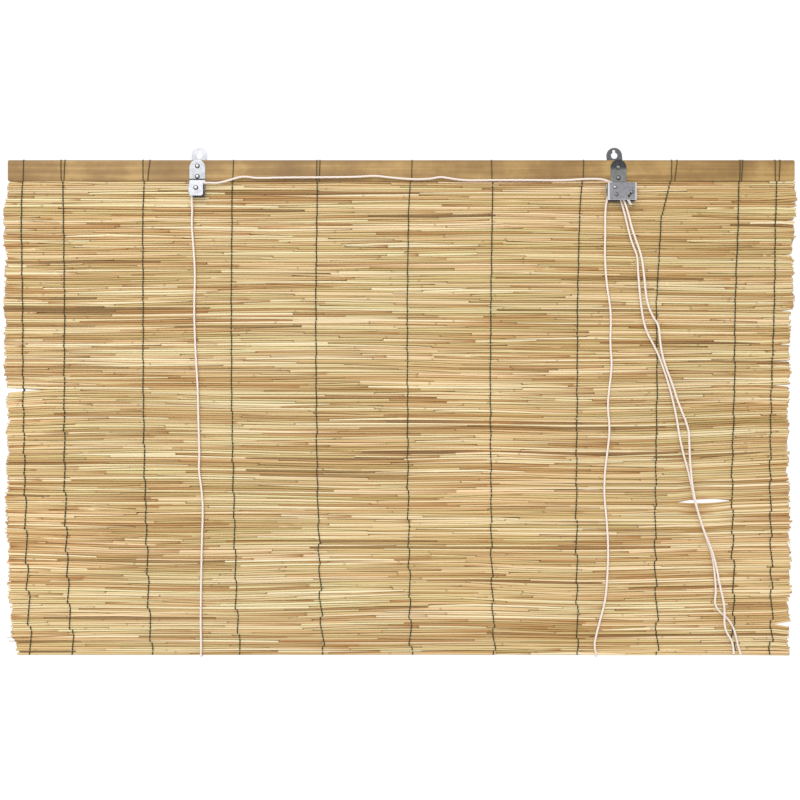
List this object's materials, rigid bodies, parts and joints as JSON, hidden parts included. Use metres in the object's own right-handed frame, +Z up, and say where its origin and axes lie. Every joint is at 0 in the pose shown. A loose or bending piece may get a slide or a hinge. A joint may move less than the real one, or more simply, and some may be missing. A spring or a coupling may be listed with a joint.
{
  "type": "bamboo roll-up blind",
  "caption": "Reed mat stitched to a bamboo headrail, hung from two keyhole straps, with a pulley, a cord lock and two lift cords.",
  "frame": {"origin": "halfway between the two round hanging holes, on the wall face of the hanger straps", "axes": "+X to the right as seen from the room, along the headrail; +Y towards the wall; +Z up"},
  "size_m": [1.0091, 0.0216, 0.6505],
  "materials": {
    "bamboo": "planed bamboo, matt",
    "reed": "dry reed, satin skin",
    "twine": "dark twisted twine",
    "cord": "braided cotton",
    "zinc": "zinc-plated sheet steel",
    "brass": "dull turned metal"
  },
  "bodies": {
    "hanging_frame": {"headrail": "bamboo", "reed_mat": "reed", "stitch_01": "twine", "stitch_02": "twine", "stitch_03": "twine", "stitch_04": "twine", "stitch_05": "twine", "stitch_06": "twine", "stitch_07": "twine", "stitch_08": "twine", "stitch_09": "twine", "stitch_10": "twine", "stitch_11": "twine", "left_hanger_strap": "zinc", "right_hanger_strap": "zinc", "left_pulley_bracket": "zinc", "left_pulley_axle": "zinc", "left_upper_rivet": "zinc", "left_lower_rivet": "zinc", "right_upper_rivet": "zinc", "right_lower_rivet": "zinc", "cord_lock_body": "zinc", "lock_guide_axle": "zinc", "lock_fixed_pin": "zinc", "left_lift_cord": "cord", "right_lift_cord": "cord"},
    "pulley_wheel": {"left_pulley_wheel": "zinc"},
    "guide_spool": {"lock_guide_spool": "brass"},
    "fixed_roller": {"lock_fixed_roller": "brass"},
    "grip_pin": {"lock_grip_pin": "zinc"},
    "grip_roller": {"lock_grip_roller": "brass"}
  },
  "joints": [
    {"name": "pulley_wheel_turn", "type": "hinge", "parent": "hanging_frame", "child": "pulley_wheel", "pos_m": [-0.26575, -0.0134, -0.0458], "axis": [0, 1, 0], "continuous": true},
    {"name": "guide_spool_turn", "type": "hinge", "parent": "hanging_frame", "child": "guide_spool", "pos_m": [0.26115, -0.0146, -0.0458], "axis": [0, 1, 0], "continuous": true},
    {"name": "fixed_roller_turn", "type": "hinge", "parent": "hanging_frame", "child": "fixed_roller", "pos_m": [0.26305, -0.0146, -0.0552], "axis": [0, 1, 0], "continuous": true},
    {"name": "grip_pin_slide", "type": "slide", "parent": "hanging_frame", "child": "grip_pin", "axis": [-0.6051, 0, -0.7962], "range_m": [0, 0.00628]},
    {"name": "grip_roller_turn", "type": "hinge", "parent": "grip_pin", "child": "grip_roller", "pos_m": [0.28255, -0.0146, -0.052], "axis": [0, 1, 0], "continuous": true}
  ]
}
